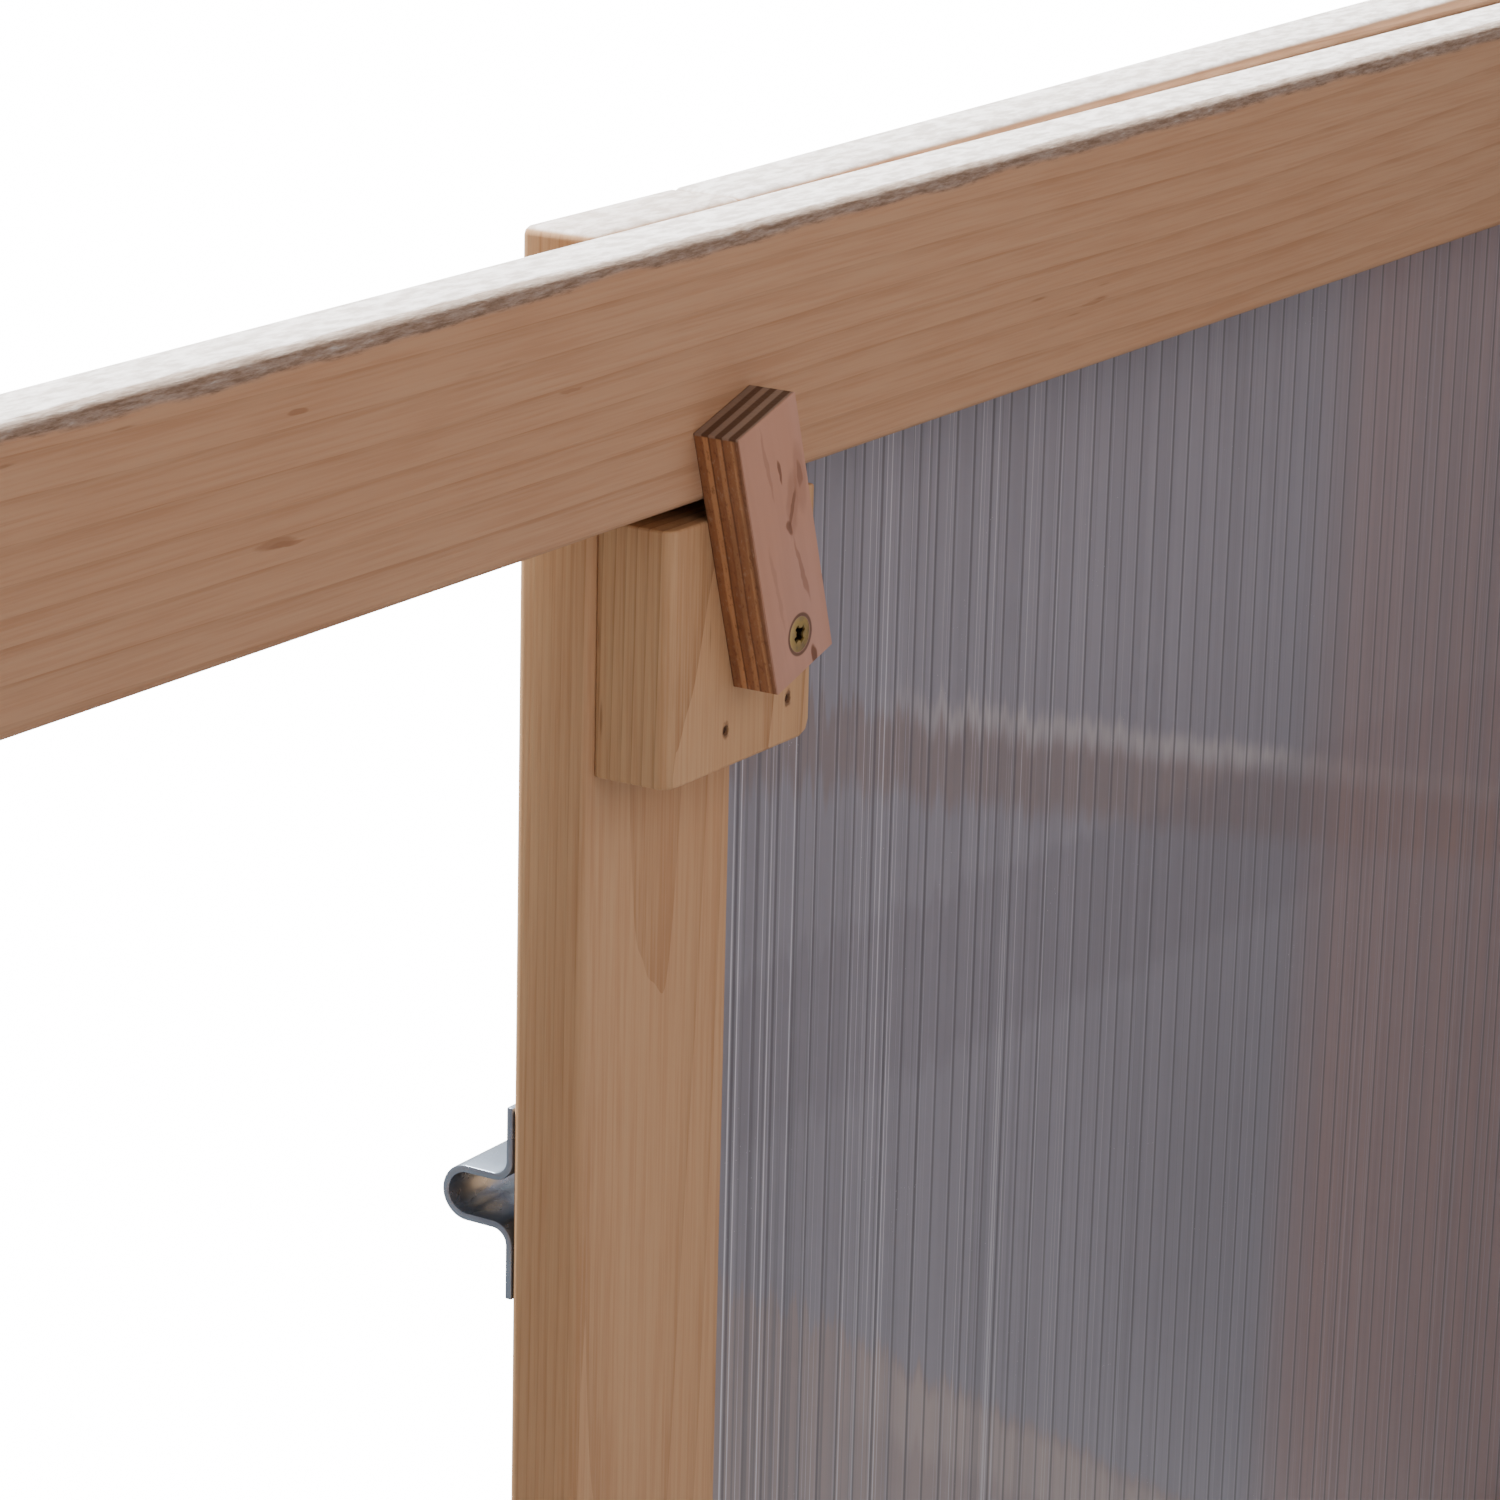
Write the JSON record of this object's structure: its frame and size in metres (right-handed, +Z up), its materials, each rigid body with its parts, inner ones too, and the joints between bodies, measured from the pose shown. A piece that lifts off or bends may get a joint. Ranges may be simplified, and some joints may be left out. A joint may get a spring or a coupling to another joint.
{
  "type": "cold frame",
  "caption": "Low wooden cold frame with twin-wall sheets: hinged lids, one locked and one open front door, a wooden turn button over the lintel, and a barrel bolt with keeper.",
  "frame": {"origin": "middle of the underside of the front sill, on the ground", "axes": "+Z up, the doors face -Y, +X to the right seen from the front"},
  "size_m": [1.2331, 1.1719, 1.0555],
  "materials": {
    "pine": "planed, unpainted",
    "plywood": "sawn, unpainted",
    "twinwall": "clear ribbed twin-wall sheet",
    "zinc": "bright zinc",
    "yellow_zinc": "yellow passivated zinc"
  },
  "bodies": {
    "frame": {"post_front_left": "pine", "post_front_right": "pine", "post_back_left": "pine", "post_back_right": "pine", "lintel": "pine", "sill": "pine", "back_rail_top": "pine", "back_rail_bottom": "pine", "side_rail_top_left": "pine", "side_rail_top_right": "pine", "side_rail_bottom_left": "pine", "side_rail_bottom_right": "pine", "side_sheet_left": "twinwall", "side_sheet_right": "twinwall", "back_sheet": "twinwall", "leaf_stile_meeting": "pine", "leaf_stile_hinge": "pine", "leaf_rail_top": "pine", "leaf_rail_bottom": "pine", "leaf_sheet": "twinwall", "button_block": "pine", "button_screw": "yellow_zinc", "keeper": "zinc", "leaf_hinge_upper_fixed": "zinc", "leaf_hinge_upper_moving": "zinc", "leaf_hinge_lower_fixed": "zinc", "leaf_hinge_lower_moving": "zinc", "door_hinge_upper_fixed": "zinc", "door_hinge_lower_fixed": "zinc", "lid_left_hinge_a_fixed": "zinc", "lid_left_hinge_b_fixed": "zinc", "lid_right_hinge_a_fixed": "zinc", "lid_right_hinge_b_fixed": "zinc"},
    "turn_button": {"turn_button": "plywood"},
    "door": {"door_stile_meeting": "pine", "door_stile_hinge": "pine", "door_rail_top": "pine", "door_rail_bottom": "pine", "door_sheet": "twinwall", "door_hinge_upper_moving": "zinc", "door_hinge_lower_moving": "zinc", "bolt_plate": "zinc"},
    "bolt": {"bolt_rod": "zinc"},
    "lid_left": {"lid_left_stile_inner": "pine", "lid_left_stile_outer": "pine", "lid_left_rail_front": "pine", "lid_left_rail_back": "pine", "lid_left_sheet": "twinwall", "lid_left_hinge_a_moving": "zinc", "lid_left_hinge_b_moving": "zinc"},
    "lid_right": {"lid_right_stile_inner": "pine", "lid_right_stile_outer": "pine", "lid_right_rail_front": "pine", "lid_right_rail_back": "pine", "lid_right_sheet": "twinwall", "lid_right_hinge_a_moving": "zinc", "lid_right_hinge_b_moving": "zinc"}
  },
  "joints": [
    {"name": "button_turn", "type": "hinge", "parent": "frame", "child": "turn_button", "pos_m": [-0.0294, 0.0165, 0.38], "axis": [0, 1, 0], "continuous": true},
    {"name": "door_swing", "type": "hinge", "parent": "frame", "child": "door", "pos_m": [0.5533, -0.0075, 0.225], "axis": [0, 0, 1], "range_deg": [-99.95, 60]},
    {"name": "bolt_slide", "type": "slide", "parent": "door", "child": "bolt", "axis": [0.1736, -0.9848, 0], "range_m": [0, 0.022]},
    {"name": "lid_left_swing", "type": "hinge", "parent": "frame", "child": "lid_left", "pos_m": [-0.2755, 0.5208, 0.531], "axis": [1, 0, 0], "range_deg": [0, 107.86]},
    {"name": "lid_right_swing", "type": "hinge", "parent": "frame", "child": "lid_right", "pos_m": [0.2755, 0.5208, 0.531], "axis": [1, 0, 0], "range_deg": [0, 107.86]}
  ]
}
